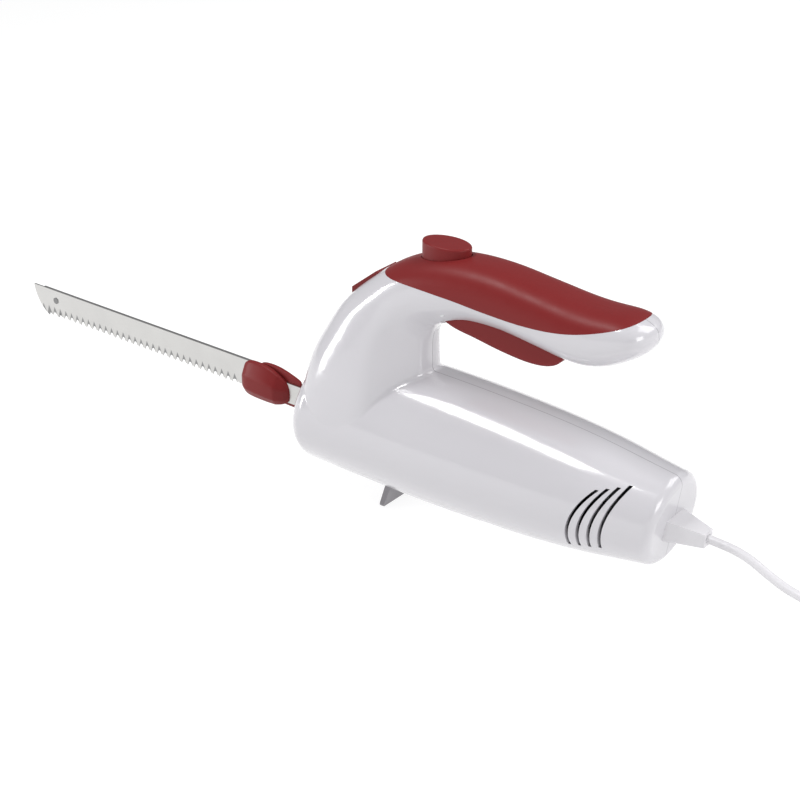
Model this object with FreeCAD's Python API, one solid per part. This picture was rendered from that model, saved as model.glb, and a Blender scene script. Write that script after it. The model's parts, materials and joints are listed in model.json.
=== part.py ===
import FreeCAD, Part
import math
import os

V = FreeCAD.Vector
PARTS = "parts"

# An electric knife with two reciprocating blades, in millimetres.
# Knife axes, used for modelling: X runs rearwards along the blades, Y to the right-hand side, Z up.
# Their origin is the tip of the rearmost blade tooth.  The finished pieces are then tipped into the
# rest pose, in which the knife stands on its foot and on the belly of its barrel, nose up.

# Blades
TOOTH_PITCH = 5.0
TOOTH_COUNT = 31
TOOTH_DEPTH = 2.8
BLADE_TOP = 17.3
BLADE_TIP_X = -164.4
BLADE_THICKNESS = 1.0
BLADE_GAP = 0.05          # from the middle plane to each blade
TANG_TOP = 12.0
TANG_END = 84.0
STROKE = 8.0              # each blade's travel
RIVET_X, RIVET_Z = -145.5, 10.7

# Housing
WALL = 2.4
AXIS_Z = 14.0             # height of the motor axis
BARREL = [(56, 33.4), (88, 34.6), (121, 35.0), (144, 35.1), (165, 34.8), (190, 33.9),
          (214, 32.6), (236, 30.7), (252, 28.7), (266, 26.5), (282, 24.1), (300, 21.4)]
NOSE_X, NOSE_Z, NOSE_LEAN = 67.3, -2.0, 10.8
REAR_X, REAR_Z, REAR_LEAN = 282.6, 0.0, 8.0
NOSE_ROUND = 10.0
REAR_ROUND = 5.0
BLEND = 2.5               # radius between neck and barrel

# Drive
WHEEL_X, WHEEL_Z = 108.0, -3.2
WHEEL_RADIUS = 12.0
WHEEL_TEETH = 24
THROW = STROKE / 2

# Controls
BUTTON_X, BUTTON_TOP = 149.4, 121.2
BUTTON_LONG, BUTTON_WIDE = 27.6, 17.2
TRIGGER_PIVOT = (157.0, 90.0)
TRIGGER_HALF = 9.0
RELEASE_SLOPE = 45.9      # of the surface that the release button stands on

# Foot and rest pose
FOOT_X, FOOT_LOW, FOOT_HALF = 122.8, -29.9, 18.0

# Cord
CORD_DIAMETER = 4.4
COIL_STEP = 4.45          # from turn to turn
COIL_TURNS = 8            # in two layers, in towards the middle and out again
COIL_INNER = 17.3         # radius of the innermost turn


# ---------------------------------------------------------------- helpers

def box(x0, x1, y0, y1, z0, z1):
    return Part.makeBox(x1 - x0, y1 - y0, z1 - z0, V(x0, y0, z0))


def rod_x(x0, x1, radius, y=0.0, z=AXIS_Z):
    return Part.makeCylinder(radius, x1 - x0, V(x0, y, z), V(1, 0, 0))


def rod_y(y0, y1, radius, x, z):
    return Part.makeCylinder(radius, y1 - y0, V(x, y0, z), V(0, 1, 0))


def rod_z(z0, z1, radius, x, y):
    return Part.makeCylinder(radius, z1 - z0, V(x, y, z0), V(0, 0, 1))


def slab(points, y0, y1):
    """A side outline of straight lines, given as (x, z), pushed out from y0 to y1."""
    wire = Part.makePolygon([V(x, y0, z) for x, z in points + points[:1]])
    return Part.Face(wire).extrude(V(0, y1 - y0, 0))


def curved_slab(curve_points, closing_points, y0, y1):
    """The same with one smooth curve through curve_points, closed by straight lines."""
    curve = Part.BSplineCurve()
    curve.interpolate([V(x, y0, z) for x, z in curve_points])
    corners = [curve_points[-1]] + closing_points + [curve_points[0]]
    lines = Part.makePolygon([V(x, y0, z) for x, z in corners])
    wire = Part.Wire([curve.toShape()] + lines.Edges)
    return Part.Face(wire).extrude(V(0, y1 - y0, 0))


def mirrored(shape):
    """The same piece on the other side of the middle plane."""
    return shape.mirror(V(0, 0, 0), V(0, 1, 0))


def tilted(shape, degrees, x=0.0, z=0.0):
    """Turned about a transverse line through (x, z); positive lowers the rear."""
    turned = shape.copy()
    turned.rotate(V(x, 0, z), V(0, 1, 0), degrees)
    return turned


def moved(shape, x=0.0, y=0.0, z=0.0):
    copy = shape.copy()
    copy.translate(V(x, y, z))
    return copy


def spring(start, direction, radius, wire, length, turns):
    """A compression spring: round wire along a helix."""
    helix = Part.makeHelix(length / turns, length, radius)
    ring = Part.Wire(Part.makeCircle(wire, V(radius, 0, 0), V(0, 1, 0)))
    coil = Part.Wire(helix.Edges).makePipeShell([ring], True, True)
    coil.Placement = FreeCAD.Placement(start, FreeCAD.Rotation(V(0, 0, 1), direction))
    return coil


# ---------------------------------------------------------------- outer form

def barrel(inset):
    """The round motor barrel, its nose and tail cut by leaning planes with rounded edges."""
    curve = Part.BSplineCurve()
    curve.interpolate([V(x, 0, AXIS_Z + radius - inset) for x, radius in BARREL])
    first_x, last_x = BARREL[0][0], BARREL[-1][0]
    first_z = AXIS_Z + BARREL[0][1] - inset
    last_z = AXIS_Z + BARREL[-1][1] - inset
    ends = Part.makePolygon([V(last_x, 0, last_z), V(last_x, 0, AXIS_Z),
                             V(first_x, 0, AXIS_Z), V(first_x, 0, first_z)])
    half = Part.Face(Part.Wire([curve.toShape()] + ends.Edges))
    body = half.revolve(V(0, 0, AXIS_Z), V(1, 0, 0), 360)
    nose = tilted(box(NOSE_X + inset - 60, NOSE_X + inset, -60, 60, -90, 90), NOSE_LEAN, NOSE_X, NOSE_Z)
    tail = tilted(box(REAR_X - inset, REAR_X - inset + 60, -60, 60, -90, 90), REAR_LEAN, REAR_X, REAR_Z)
    body = body.cut(nose).cut(tail)
    body = body.makeFillet(REAR_ROUND - inset, max(flat_faces(body), key=middle_x).Edges)
    return body.makeFillet(NOSE_ROUND - inset, min(flat_faces(body), key=middle_x).Edges)


def flat_faces(shape):
    return [face for face in shape.Faces if isinstance(face.Surface, Part.Plane)]


def middle_x(face):
    return face.CenterOfMass.x


# The neck and handle follow a C.  Each row is one section: the point on the inner side of the C
# (x, z), the point on the outer side (x, z), the half width of the outer part, the half width at
# the inner side, the squareness, and how far across the section the narrow part reaches.
GRIP = [
    (134.0, -4.0, 73.0, -4.0, 28.0, 14.0, 4.0, 0.36),
    (139.0, 16.0, 72.0, 16.0, 34.2, 15.0, 4.2, 0.36),
    (141.2, 36.0, 73.6, 36.0, 32.9, 15.0, 3.8, 0.38),
    (141.2, 53.0, 77.8, 53.5, 29.8, 15.0, 3.3, 0.42),
    (141.2, 66.0, 84.7, 67.5, 26.8, 15.0, 2.9, 0.46),
    (142.0, 70.0, 92.0, 79.4, 24.6, 14.6, 2.7, 0.46),
    (143.2, 72.8, 101.8, 89.2, 22.6, 14.2, 2.6, 0.46),
    (145.6, 75.8, 117.9, 102.6, 20.6, 13.5, 2.6, 0.46),
    (148.6, 78.2, 135.4, 111.2, 19.6, 14.0, 2.6, 0.46),
    (152.8, 80.2, 153.4, 115.6, 19.0, 14.0, 2.6, 0.46),
    (165.0, 84.8, 168.0, 117.2, 18.2, 13.5, 2.6, 0.46),
    (184.0, 86.4, 186.0, 117.0, 17.6, 13.5, 2.6, 0.46),
    (206.0, 84.2, 207.0, 114.8, 17.6, 14.0, 2.6, 0.46),
    (226.0, 81.6, 226.0, 112.6, 18.0, 14.5, 2.6, 0.46),
    (240.0, 82.4, 239.4, 111.8, 18.0, 14.5, 2.6, 0.46),
    (252.8, 87.4, 250.2, 112.2, 17.2, 14.0, 2.5, 0.46),
    (262.6, 93.8, 259.2, 111.8, 14.6, 12.0, 2.4, 0.46),
    (267.6, 99.2, 265.6, 109.8, 9.6, 8.0, 2.2, 0.46),
    (269.4, 102.8, 268.8, 106.4, 2.6, 2.4, 2.0, 0.46),
]
GRIP_SECTIONS = 22
SECTION_POINTS = 15


def grip_rows():
    """The same sections spaced evenly along the C, with smooth values between them."""
    reached = [0.0]
    for near, far in zip(GRIP, GRIP[1:]):
        step_x = (far[0] + far[2] - near[0] - near[2]) / 2
        step_z = (far[1] + far[3] - near[1] - near[3]) / 2
        reached.append(reached[-1] + math.hypot(step_x, step_z))
    last = len(GRIP) - 1
    rows = []
    for count in range(GRIP_SECTIONS):
        here = reached[-1] * count / (GRIP_SECTIONS - 1)
        start = min(last - 1, max(k for k in range(len(GRIP)) if reached[k] <= here))
        span = reached[start + 1] - reached[start]
        t = (here - reached[start]) / span
        row = []
        for column in range(len(GRIP[0])):
            slopes = []
            for k in (start, start + 1):
                low, high = max(0, k - 1), min(last, k + 1)
                rise = GRIP[high][column] - GRIP[low][column]
                slopes.append(rise / (reached[high] - reached[low]) * span)
            begin, end = GRIP[start][column], GRIP[start + 1][column]
            row.append((2 * t**3 - 3 * t**2 + 1) * begin + (t**3 - 2 * t**2 + t) * slopes[0]
                       + (3 * t**2 - 2 * t**3) * end + (t**3 - t**2) * slopes[1])
        rows.append(row)
    return rows


def grip_section(row, inset):
    """The right-hand half of one section, closed 5 mm beyond the middle plane."""
    inner_x, inner_z, outer_x, outer_z, wide, narrow, power, reach = row
    depth = math.hypot(outer_x - inner_x, outer_z - inner_z)
    run_x = (outer_x - inner_x) / depth
    run_z = (outer_z - inner_z) / depth
    points = []
    for step in range(SECTION_POINTS):
        turn = math.pi * step / (SECTION_POINTS - 1)
        cosine = math.cos(turn)
        sine = abs(math.sin(turn)) if step < SECTION_POINTS - 1 else 0.0
        along = 0.5 - 0.5 * math.copysign(abs(cosine) ** (2 / power), cosine)
        ease = min(1.0, along / reach)
        half = narrow + (wide - narrow) * ease * ease * (3 - 2 * ease)
        deep = inset + (depth - 2 * inset) * along
        points.append(V(inner_x + run_x * deep, (half - inset) * sine ** (2 / power), inner_z + run_z * deep))
    curve = Part.BSplineCurve()
    curve.interpolate(points)
    first, last = points[0], points[-1]
    back = Part.makePolygon([last, V(last.x, -5, last.z), V(first.x, -5, first.z), first])
    return Part.Wire([curve.toShape()] + back.Edges)


def grip(inset):
    """The neck and handle; an inset one starts higher and stops short of the rounded end."""
    rows = grip_rows()
    if inset > 0:
        rows = [row for row in rows[2:] if row[4] > 9]
    return Part.makeLoft([grip_section(row, inset) for row in rows], True, False)


def outer_form():
    """The right-hand half of the whole outer form, with the neck blended into the barrel."""
    body, neck = barrel(0), grip(0)
    form = body.fuse(neck).common(box(0, 400, 0, 60, -100, 300))
    meeting = []
    for edge in form.Edges:
        middle = Part.Vertex(edge.valueAt((edge.FirstParameter + edge.LastParameter) / 2))
        if all(middle.distToShape(shell)[0] < 0.001 for shell in (body.Shells[0], neck.Shells[0])):
            meeting.append(edge)
    return form.makeFillet(BLEND, meeting)


# The joint between the white shells and the red cover, seen from the side
COVER_LINE = [(104.0, 102.6), (114.0, 101.9), (123.0, 101.6), (134.0, 101.7), (146.0, 101.6), (158.0, 101.0),
              (168.0, 100.2), (177.0, 99.2), (188.0, 98.4), (199.0, 98.1), (211.0, 98.5), (222.0, 99.6),
              (233.0, 101.6), (243.0, 104.4), (252.0, 107.4), (261.0, 110.8), (270.0, 114.6), (280.0, 119.0)]


def cover_zone():
    return curved_slab(COVER_LINE, [(280.0, 150.0), (104.0, 150.0)], -50, 50)


# ---------------------------------------------------------------- openings in the housing

def along_release(x, z, inward):
    """A point moved inwards, square to the surface that the release button stands on."""
    slope = math.radians(RELEASE_SLOPE)
    return (x + inward * math.sin(slope), z - inward * math.cos(slope))


RELEASE_LOW = (95.4, 81.7)
RELEASE_HIGH = (111.6, 98.3)


def release_shaft(half_width, margin):
    """The straight passage that the release button moves in."""
    slope = math.radians(RELEASE_SLOPE)
    low = (RELEASE_LOW[0] - margin * math.cos(slope), RELEASE_LOW[1] - margin * math.sin(slope))
    high = (RELEASE_HIGH[0] + margin * math.cos(slope), RELEASE_HIGH[1] + margin * math.sin(slope))
    outline = [along_release(*low, -14), along_release(*low, 9),
               along_release(*high, 9), along_release(*high, -14)]
    return slab(outline, -half_width, half_width)


def oval_prism(half_long, half_wide, z0, z1):
    edge = Part.Ellipse(V(BUTTON_X, 0, z0), half_long, half_wide).toShape()
    return Part.Face(Part.Wire([edge])).extrude(V(0, 0, z1 - z0))


VENT_COUNT = 4
VENT_PITCH = 5.6          # at the lower ends
VENT_TOP_PITCH = 4.7
VENT_WIDTH = 1.8


def vents():
    """Curved cooling slots through both sides, one behind the other."""
    slots = []
    for count in range(VENT_COUNT):
        shift = VENT_PITCH * count
        top_shift = VENT_TOP_PITCH * count
        rise = 1.4 * count
        outline = []
        for offset in (0.0, VENT_WIDTH):
            outline.append([V(241.6 + shift + offset, -60, -4 + rise),
                            V(245.0 + shift + offset, -60, 16 + rise),
                            V(254.4 + top_shift + offset, -60, 30 + rise)])
        front = Part.Arc(*outline[0]).toShape()
        rear = Part.Arc(*outline[1]).toShape()
        low = Part.makeLine(outline[0][0], outline[1][0])
        high = Part.makeLine(outline[0][2], outline[1][2])
        slots.append(Part.Face(Part.Wire([front, high, rear, low])).extrude(V(0, 120, 0)))
    return slots


# Screw posts: x, z, and how far right the screw's head sits
SCREWS = [(112.0, 60.0, 19.0), (148.0, -9.0, 18.0), (222.0, -10.0, 14.0), (240.0, 97.0, 8.0)]


# ---------------------------------------------------------------- housing pieces

def foot():
    """A thin leaning plate across the underside, level below, with rounded lower corners."""
    sole = 2.8
    front_low = FOOT_LOW - sole * math.tan(math.radians(TILT))
    side = slab([(FOOT_X - sole, front_low), (FOOT_X, FOOT_LOW), (FOOT_X + 6.4, -13.0),
                 (FOOT_X + 2.6, -13.0)], -FOOT_HALF, FOOT_HALF)
    plate = box(FOOT_X - 5, FOOT_X + 15, -FOOT_HALF, FOOT_HALF, FOOT_LOW - 1, 0)
    corners = [edge for edge in plate.Edges
               if edge.BoundBox.XLength > 10 and edge.CenterOfMass.z < FOOT_LOW]
    rounded = side.common(plate.makeFillet(3.5, corners))
    return rounded.cut(box(FOOT_X - 5, FOOT_X + 15, -9.8, 9.8, -18.8, 0))


def guard():
    """Tapered cord guard: a wide flat root narrowing to a square end with the cord's hole."""
    sections = []
    sizes = ((280.4, 8.6, 5.6, 16.8), (284.0, 8.2, 5.8, 16.6), (303.0, 3.6, 6.6, 13.8))
    for x, half_wide, low, high in sizes:
        corners = [V(x, -half_wide, low), V(x, half_wide, low), V(x, half_wide, high), V(x, -half_wide, high)]
        sections.append(Part.makePolygon(corners + corners[:1]))
    body = Part.makeLoft(sections, True, True)
    flange = box(277.0, 280.4, -10.0, 10.0, 4.2, 18.2)
    return body.fuse(flange).removeSplitter()


CORD_HOLE_Z = 10.2


def housing():
    """The two white shells and the red cover."""
    form = outer_form()
    hollow = barrel(WALL).fuse(grip(WALL))
    skin = form.cut(hollow)
    zone = cover_zone()
    openings = [box(50, 84, -3.8, 3.8, -1.8, 13.8),
                box(152.0, 224.5, -TRIGGER_HALF - 0.5, TRIGGER_HALF + 0.5, 60, 95.5),
                release_shaft(8.4, 0.4),
                oval_prism(BUTTON_LONG / 2 + 0.4, BUTTON_WIDE / 2 + 0.4, 98, 130)]
    skin = skin.cut(openings)
    half_cover = skin.common(zone)
    cover = half_cover.fuse(mirrored(half_cover)).removeSplitter()
    plain = skin.cut(zone).cut(vents() + [foot(), guard()])
    right, left = plain, mirrored(plain)
    white_form = form.cut(zone)
    for x, z, head in SCREWS:
        right = right.fuse(rod_y(0, 60, 4.8, x, z).common(white_form))
        left = left.fuse(mirrored(rod_y(0, 60, 4.0, x, z).common(white_form)))
    for x, z, head in SCREWS:
        right = right.cut([rod_y(head, 60, 3.6, x, z), rod_y(-1, 60, 1.7, x, z)])
        left = left.cut(rod_y(-14, 1, 1.5, x, z))
    pin_sockets = rod_y(-14.6, 14.6, 1.52, *TRIGGER_PIVOT)
    right, left = right.cut(pin_sockets), left.cut(pin_sockets)
    return left, right, cover


def housing_screws():
    """Pan-head screws that join the shells."""
    screws = []
    for x, z, head in SCREWS:
        shank = rod_y(-12.5, head + 0.5, 1.45, x, z)
        cap = rod_y(head, head + 2.2, 3.2, x, z)
        slots = [box(x - 2.0, x + 2.0, head + 1.2, head + 3, z - 0.4, z + 0.4),
                 box(x - 0.4, x + 0.4, head + 1.2, head + 3, z - 2.0, z + 2.0)]
        screws.append(shank.fuse(cap).cut(slots))
    return Part.makeCompound(screws)


# ---------------------------------------------------------------- controls

def lock_button():
    """Oval push button with a hollow underside for its spring."""
    body = oval_prism(BUTTON_LONG / 2, BUTTON_WIDE / 2, 103.2, BUTTON_TOP)
    rim = [edge for edge in body.Edges if edge.CenterOfMass.z > BUTTON_TOP - 0.01]
    body = body.makeFillet(1.2, rim)
    return body.cut(rod_z(102, 112.2, 5.0, BUTTON_X, 0))


def trigger():
    """Long finger trigger under the handle; a cross pin at its front end carries it."""
    under = [(153.6, 83.0), (160.0, 80.6), (170.0, 79.0), (182.0, 77.0), (194.0, 75.4), (202.0, 74.8),
             (211.0, 75.2), (218.4, 77.4), (223.4, 82.4)]
    over = [(223.4, 90.2), (166.0, 90.2), (161.0, 93.6), (153.6, 93.6)]
    body = curved_slab(under, over, -TRIGGER_HALF, TRIGGER_HALF)
    edges = [edge for edge in body.Edges if edge.CenterOfMass.z < 82 and edge.BoundBox.XLength > 40]
    body = body.makeFillet(2.6, edges)
    return body.cut(rod_y(-20, 20, 1.55, *TRIGGER_PIVOT))


def trigger_pin():
    return rod_y(-14.4, 14.4, 1.5, *TRIGGER_PIVOT)


def control_bracket():
    """Inner plate that the lock button's spring, the trigger's spring and the switch sit on."""
    return box(136, 230, -8, 8, 98.0, 100.0)


def switch_body():
    return box(194, 218, -7, 7, 95.0, 97.9).cut(rod_z(94, 99, 2.1, 206, 0))


def switch_plunger():
    return rod_z(90.3, 94.6, 2.0, 206, 0)


def release_button():
    """Wedge-shaped push button on the nose, with the link that reaches down to the blade latch."""
    head = slab([RELEASE_LOW, (RELEASE_LOW[0], RELEASE_LOW[1] + 4.5), (111.2, 98.6), RELEASE_HIGH,
                 along_release(*RELEASE_HIGH, 7.0), along_release(*RELEASE_LOW, 7.0)], -8.0, 8.0)
    edges = [edge for edge in head.Edges
             if abs(edge.CenterOfMass.x - RELEASE_LOW[0]) < 0.1 and edge.BoundBox.YLength > 10]
    top = [edge for edge in edges if edge.CenterOfMass.z > RELEASE_LOW[1] + 4]
    head = head.makeFillet(0.8, top)
    link = slab([(104.0, 86.0), (107.0, 82.0), (85.0, 18.0), (81.0, 18.0)], -1.5, 1.5)
    return head.fuse(link)


# ---------------------------------------------------------------- drive

def worm_wheel():
    """Toothed wheel on the cross axle."""
    root = WHEEL_RADIUS - 1.8
    outline = []
    for tooth in range(WHEEL_TEETH):
        middle = 2 * math.pi * tooth / WHEEL_TEETH
        for radius, turn in ((root, -0.36), (WHEEL_RADIUS, -0.15), (WHEEL_RADIUS, 0.15), (root, 0.36)):
            angle = middle + turn * 2 * math.pi / WHEEL_TEETH
            outline.append((WHEEL_X + radius * math.cos(angle), WHEEL_Z + radius * math.sin(angle)))
    return slab(outline, -3.4, 3.4).cut(rod_y(-5, 5, 2.55, WHEEL_X, WHEEL_Z))


def eccentric(side):
    """Offset disc on one face of the wheel; side is -1 on the left, 1 on the right."""
    near, far = sorted((3.4 * side, 7.8 * side))
    disc = rod_y(near, far, 6.5, WHEEL_X + THROW * side, WHEEL_Z)
    return disc.cut(rod_y(-9, 9, 2.55, WHEEL_X, WHEEL_Z))


def drive_slider(side):
    """Sliding yoke that one eccentric pushes to and fro, with the pocket that grips a blade's tang."""
    shift = 0.0 if side < 0 else STROKE
    yoke = box(85.6 + shift, 122.4 + shift, 4.0, 8.4, -16.2, 9.4)
    window = box(89.0 + shift, 119.0 + shift, 3, 9, -14.0, 7.6)
    nose = box(73.8 + shift, 85.8 + shift, 0.2, 8.4, -4.0, 14.4)
    pocket = box(70 + shift, TANG_END + 0.3 + shift, 0.0, 1.15, -0.2, TANG_TOP + 0.2)
    slider = yoke.cut(window).fuse(nose).cut(pocket)
    return slider if side > 0 else mirrored(slider)


def gearbox_frame():
    """Two cheeks and a cross wall: they hold the wheel's axle and the front bearing."""
    frame = box(96, 141, -11.6, 11.6, -12.4, 26).cut(box(90, 134, -9.0, 9.0, -20, 30))
    frame = frame.cut(rod_x(130, 145, 8.05))
    return frame.cut(rod_y(-20, 20, 2.5, WHEEL_X, WHEEL_Z))


def worm():
    """Worm on the motor shaft: a core with a screw thread."""
    pitch = 2 * math.pi * WHEEL_RADIUS / WHEEL_TEETH
    core = rod_x(97, 119, 3.9)
    helix = Part.makeHelix(pitch, 16, 3.7)
    tooth = Part.makePolygon([V(3.5, 0, -0.7), V(4.9, 0, -0.3), V(4.9, 0, 0.3), V(3.5, 0, 0.7),
                              V(3.5, 0, -0.7)])
    thread = Part.Wire(helix.Edges).makePipeShell([tooth], True, True)
    thread.Placement = FreeCAD.Placement(V(100, 0, AXIS_Z), FreeCAD.Rotation(V(0, 0, 1), V(1, 0, 0)))
    return core.fuse(thread).cut(rod_x(90, 125, 3.0))


# ---------------------------------------------------------------- motor

def field_stack():
    stack = rod_x(162, 204, 25.0).common(box(160, 206, -25, 25, AXIS_Z - 22, AXIS_Z + 22))
    bore = rod_x(160, 206, 19.6)
    poles = box(162, 204, -9, 9, AXIS_Z - 20.5, AXIS_Z + 20.5)
    return stack.cut(bore).fuse(poles).cut(rod_x(160, 206, 14.0))


def field_coils():
    """One winding round each pole."""
    coils = []
    for low in (AXIS_Z + 14.6, AXIS_Z - 18.0):
        ring = box(157.6, 208.4, -12.4, 12.4, low, low + 3.4)
        coils.append(ring.cut(box(161.8, 204.2, -9.2, 9.2, low - 1, low + 5)))
    shaped = Part.makeCompound(coils).common(rod_x(150, 215, 19.4))
    return shaped.cut(rod_x(150, 215, 14.2))


def armature_core():
    core = rod_x(164, 202, 13.5)
    slots = []
    for count in range(12):
        angle = 2 * math.pi * count / 12
        slots.append(rod_x(160, 206, 1.3, 12.8 * math.cos(angle), AXIS_Z + 12.8 * math.sin(angle)))
    return core.cut(slots).cut(rod_x(160, 206, 3.0))


def commutator():
    drum = rod_x(212, 224, 9.0)
    gaps = []
    for count in range(12):
        gap = box(211, 225, 7.6, 9.5, AXIS_Z - 0.3, AXIS_Z + 0.3)
        gap.rotate(V(0, 0, AXIS_Z), V(1, 0, 0), 30 * count + 15)
        gaps.append(gap)
    return drum.cut(gaps).cut(rod_x(210, 226, 3.0))


def fan():
    """Cooling fan: a hub with eight flat blades."""
    hub = rod_x(231, 241, 6.0)
    for count in range(8):
        blade = box(232, 240, 5.0, 22.0, AXIS_Z - 0.6, AXIS_Z + 0.6)
        blade.rotate(V(0, 0, AXIS_Z), V(1, 0, 0), 45 * count)
        hub = hub.fuse(blade)
    return hub.cut(rod_x(230, 243, 3.0))


def bearing(x0, x1):
    return rod_x(x0, x1, 8.0).cut(rod_x(x0 - 1, x1 + 1, 3.05))


def rear_bracket():
    """Plate that holds the rear bearing."""
    return box(257, 262, -15, 15, AXIS_Z - 15, AXIS_Z + 15).cut(rod_x(250, 270, 8.05))


def brushes():
    pair = [box(215.5, 220.5, low, high, AXIS_Z - 3, AXIS_Z + 3) for low, high in ((9.1, 17), (-17, -9.1))]
    return Part.makeCompound(pair)


def brush_holders():
    pair = []
    for low, high in ((11.0, 21.0), (-21.0, -11.0)):
        tube = box(213.5, 222.5, low, high, AXIS_Z - 4.5, AXIS_Z + 4.5)
        pair.append(tube.cut(box(215.4, 220.6, low - 1, high + 1, AXIS_Z - 3.1, AXIS_Z + 3.1)))
    return Part.makeCompound(pair)


def capacitor():
    body = box(206, 224, -7, 7, 32.6, 39.6)
    return body.makeFillet(1.0, body.Edges)


def cord_clamp():
    return box(268, 274, -9, 9, 3.0, 6.6).cut([rod_z(0, 10, 1.3, 271, -6), rod_z(0, 10, 1.3, 271, 6)])


def clamp_screws():
    pair = [rod_z(-3, 6.6, 1.25, 271, y).fuse(rod_z(6.6, 8.4, 2.4, 271, y)) for y in (-6, 6)]
    return Part.makeCompound(pair)


# ---------------------------------------------------------------- blades

def blade(side):
    """Serrated blade with its tang: side -1 is the left blade, 1 the right, half a cycle behind."""
    rear = 5.0
    tip_low = -TOOTH_PITCH * (TOOTH_COUNT - 1) - 3.5
    edges = []
    corners = [V(rear, 0, 1.2), V(18, 0, 1.2), V(20, 0, 0), V(TANG_END, 0, 0), V(TANG_END, 0, TANG_TOP),
               V(26, 0, TANG_TOP), V(20, 0, BLADE_TOP), V(BLADE_TIP_X, 0, BLADE_TOP)]
    edges += Part.makePolygon(corners).Edges
    edges.append(Part.Arc(corners[-1], V(-160.6, 0, 6.6), V(tip_low, 0, -0.8)).toShape())
    edges.append(Part.makeLine(V(tip_low, 0, -0.8), V(tip_low + 1.2, 0, 1.6)))
    edges.append(Part.makeLine(V(tip_low + 1.2, 0, 1.6), V(tip_low + 3.5, 0, 0)))
    flank_x, flank_z = 0.14 * TOOTH_PITCH, 0.5 * TOOTH_DEPTH
    for count in range(TOOTH_COUNT - 1, 0, -1):
        point = V(-TOOTH_PITCH * count, 0, 0)
        rise = point + V(flank_x, 0, flank_z)
        fall = point + V(TOOTH_PITCH - flank_x, 0, flank_z)
        edges.append(Part.makeLine(point, rise))
        edges.append(Part.Arc(rise, point + V(TOOTH_PITCH / 2, 0, TOOTH_DEPTH), fall).toShape())
        edges.append(Part.makeLine(fall, point + V(TOOTH_PITCH, 0, 0)))
    edges.append(Part.Arc(V(0, 0, 0), V(2.2, 0, 2.4), V(rear, 0, 1.2)).toShape())
    outer = BLADE_GAP + BLADE_THICKNESS
    plate = Part.Face(Part.Wire(edges)).extrude(V(0, BLADE_THICKNESS, 0))
    plate.translate(V(0, BLADE_GAP, 0))
    grind = Part.makePolygon([V(-170, outer + 0.1, -3), V(-170, outer - 0.62, -3), V(-170, outer + 0.1, 7.0),
                              V(-170, outer + 0.1, -3)])
    plate = plate.cut(Part.Face(grind).extrude(V(176, 0, 0)))
    if side < 0:
        return mirrored(plate).cut(rod_y(-3, 3, 1.5, RIVET_X, RIVET_Z))
    plate = moved(plate, x=STROKE)
    slot = [rod_y(-3, 3, 1.6, RIVET_X, RIVET_Z), rod_y(-3, 3, 1.6, RIVET_X + 2 * STROKE, RIVET_Z),
            box(RIVET_X, RIVET_X + 2 * STROKE, -3, 3, RIVET_Z - 1.6, RIVET_Z + 1.6)]
    return plate.cut(slot)


def blade_rivet():
    """Fixed in the left blade; its far head keeps the right blade close."""
    face = BLADE_GAP + BLADE_THICKNESS
    near_head = rod_y(-face - 0.3, -face, 2.0, RIVET_X, RIVET_Z)
    far_head = rod_y(face + 0.1, face + 0.8, 2.8, RIVET_X, RIVET_Z)
    return rod_y(-face, face + 0.1, 1.5, RIVET_X, RIVET_Z).fuse([near_head, far_head])


def blade_collar(side):
    """Finger guard moulded on the outer face of one blade."""
    section = Part.makePolygon([V(12, 0.12, 18.4), V(12, 2.4, 18.4), V(12, 6.6, 12.0), V(12, 7.0, 9.8),
                                V(12, 7.0, 1.6), V(12, 4.6, -2.0), V(12, 0.12, -2.2), V(12, 0.12, 18.4)])
    body = Part.Face(section).extrude(V(31, 0, 0))
    plan = Part.makePolygon([V(14, 0, -5), V(12, 4, -5), V(12.6, 9, -5), V(40, 9, -5), V(43, 3, -5),
                             V(43, 0, -5), V(14, 0, -5)])
    body = body.common(Part.Face(plan).extrude(V(0, 0, 30)))
    profile = slab([(12, 0), (12, 12), (15, 18.6), (33, 18.6), (43, 15), (44, 6), (42, -3), (24, -3),
                    (15, -1.6)], -1, 10)
    body = body.common(profile)
    hollow = box(0, 60, 0, BLADE_GAP + BLADE_THICKNESS, -0.4, BLADE_TOP)
    body = body.cut(hollow)
    if side < 0:
        return mirrored(body)
    return moved(body, x=STROKE)


# ---------------------------------------------------------------- rest pose

def rest_tilt():
    """The angle, in degrees, that brings foot and barrel down onto one level surface."""
    rises = []
    for x, radius in BARREL:
        if x > 180:
            rises.append((AXIS_Z - radius - FOOT_LOW) / (x - FOOT_X))
    return math.degrees(math.atan(min(rises)))


TILT = rest_tilt()
COSINE = math.cos(math.radians(TILT))
SINE = math.sin(math.radians(TILT))


def tipped(x, z):
    """A point of the knife axes turned into the rest pose, before the origin is moved."""
    return (COSINE * x + SINE * z, -SINE * x + COSINE * z)


# The origin: middle of the length, on the surface under the foot
FRONT = tipped(BLADE_TIP_X, BLADE_TOP)[0]
REAR = tipped(303.0, 13.8)[0]
FLOOR = tipped(FOOT_X, FOOT_LOW)[1]
ORIGIN_X = (FRONT + REAR) / 2


def at_rest(shape):
    """A piece modelled in knife axes, placed in the part's own frame."""
    placed = tilted(shape, TILT)
    placed.translate(V(-ORIGIN_X, 0, -FLOOR))
    return placed


def rest_point(x, z):
    turned = tipped(x, z)
    return (turned[0] - ORIGIN_X, turned[1] - FLOOR)


# ---------------------------------------------------------------- cord

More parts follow.
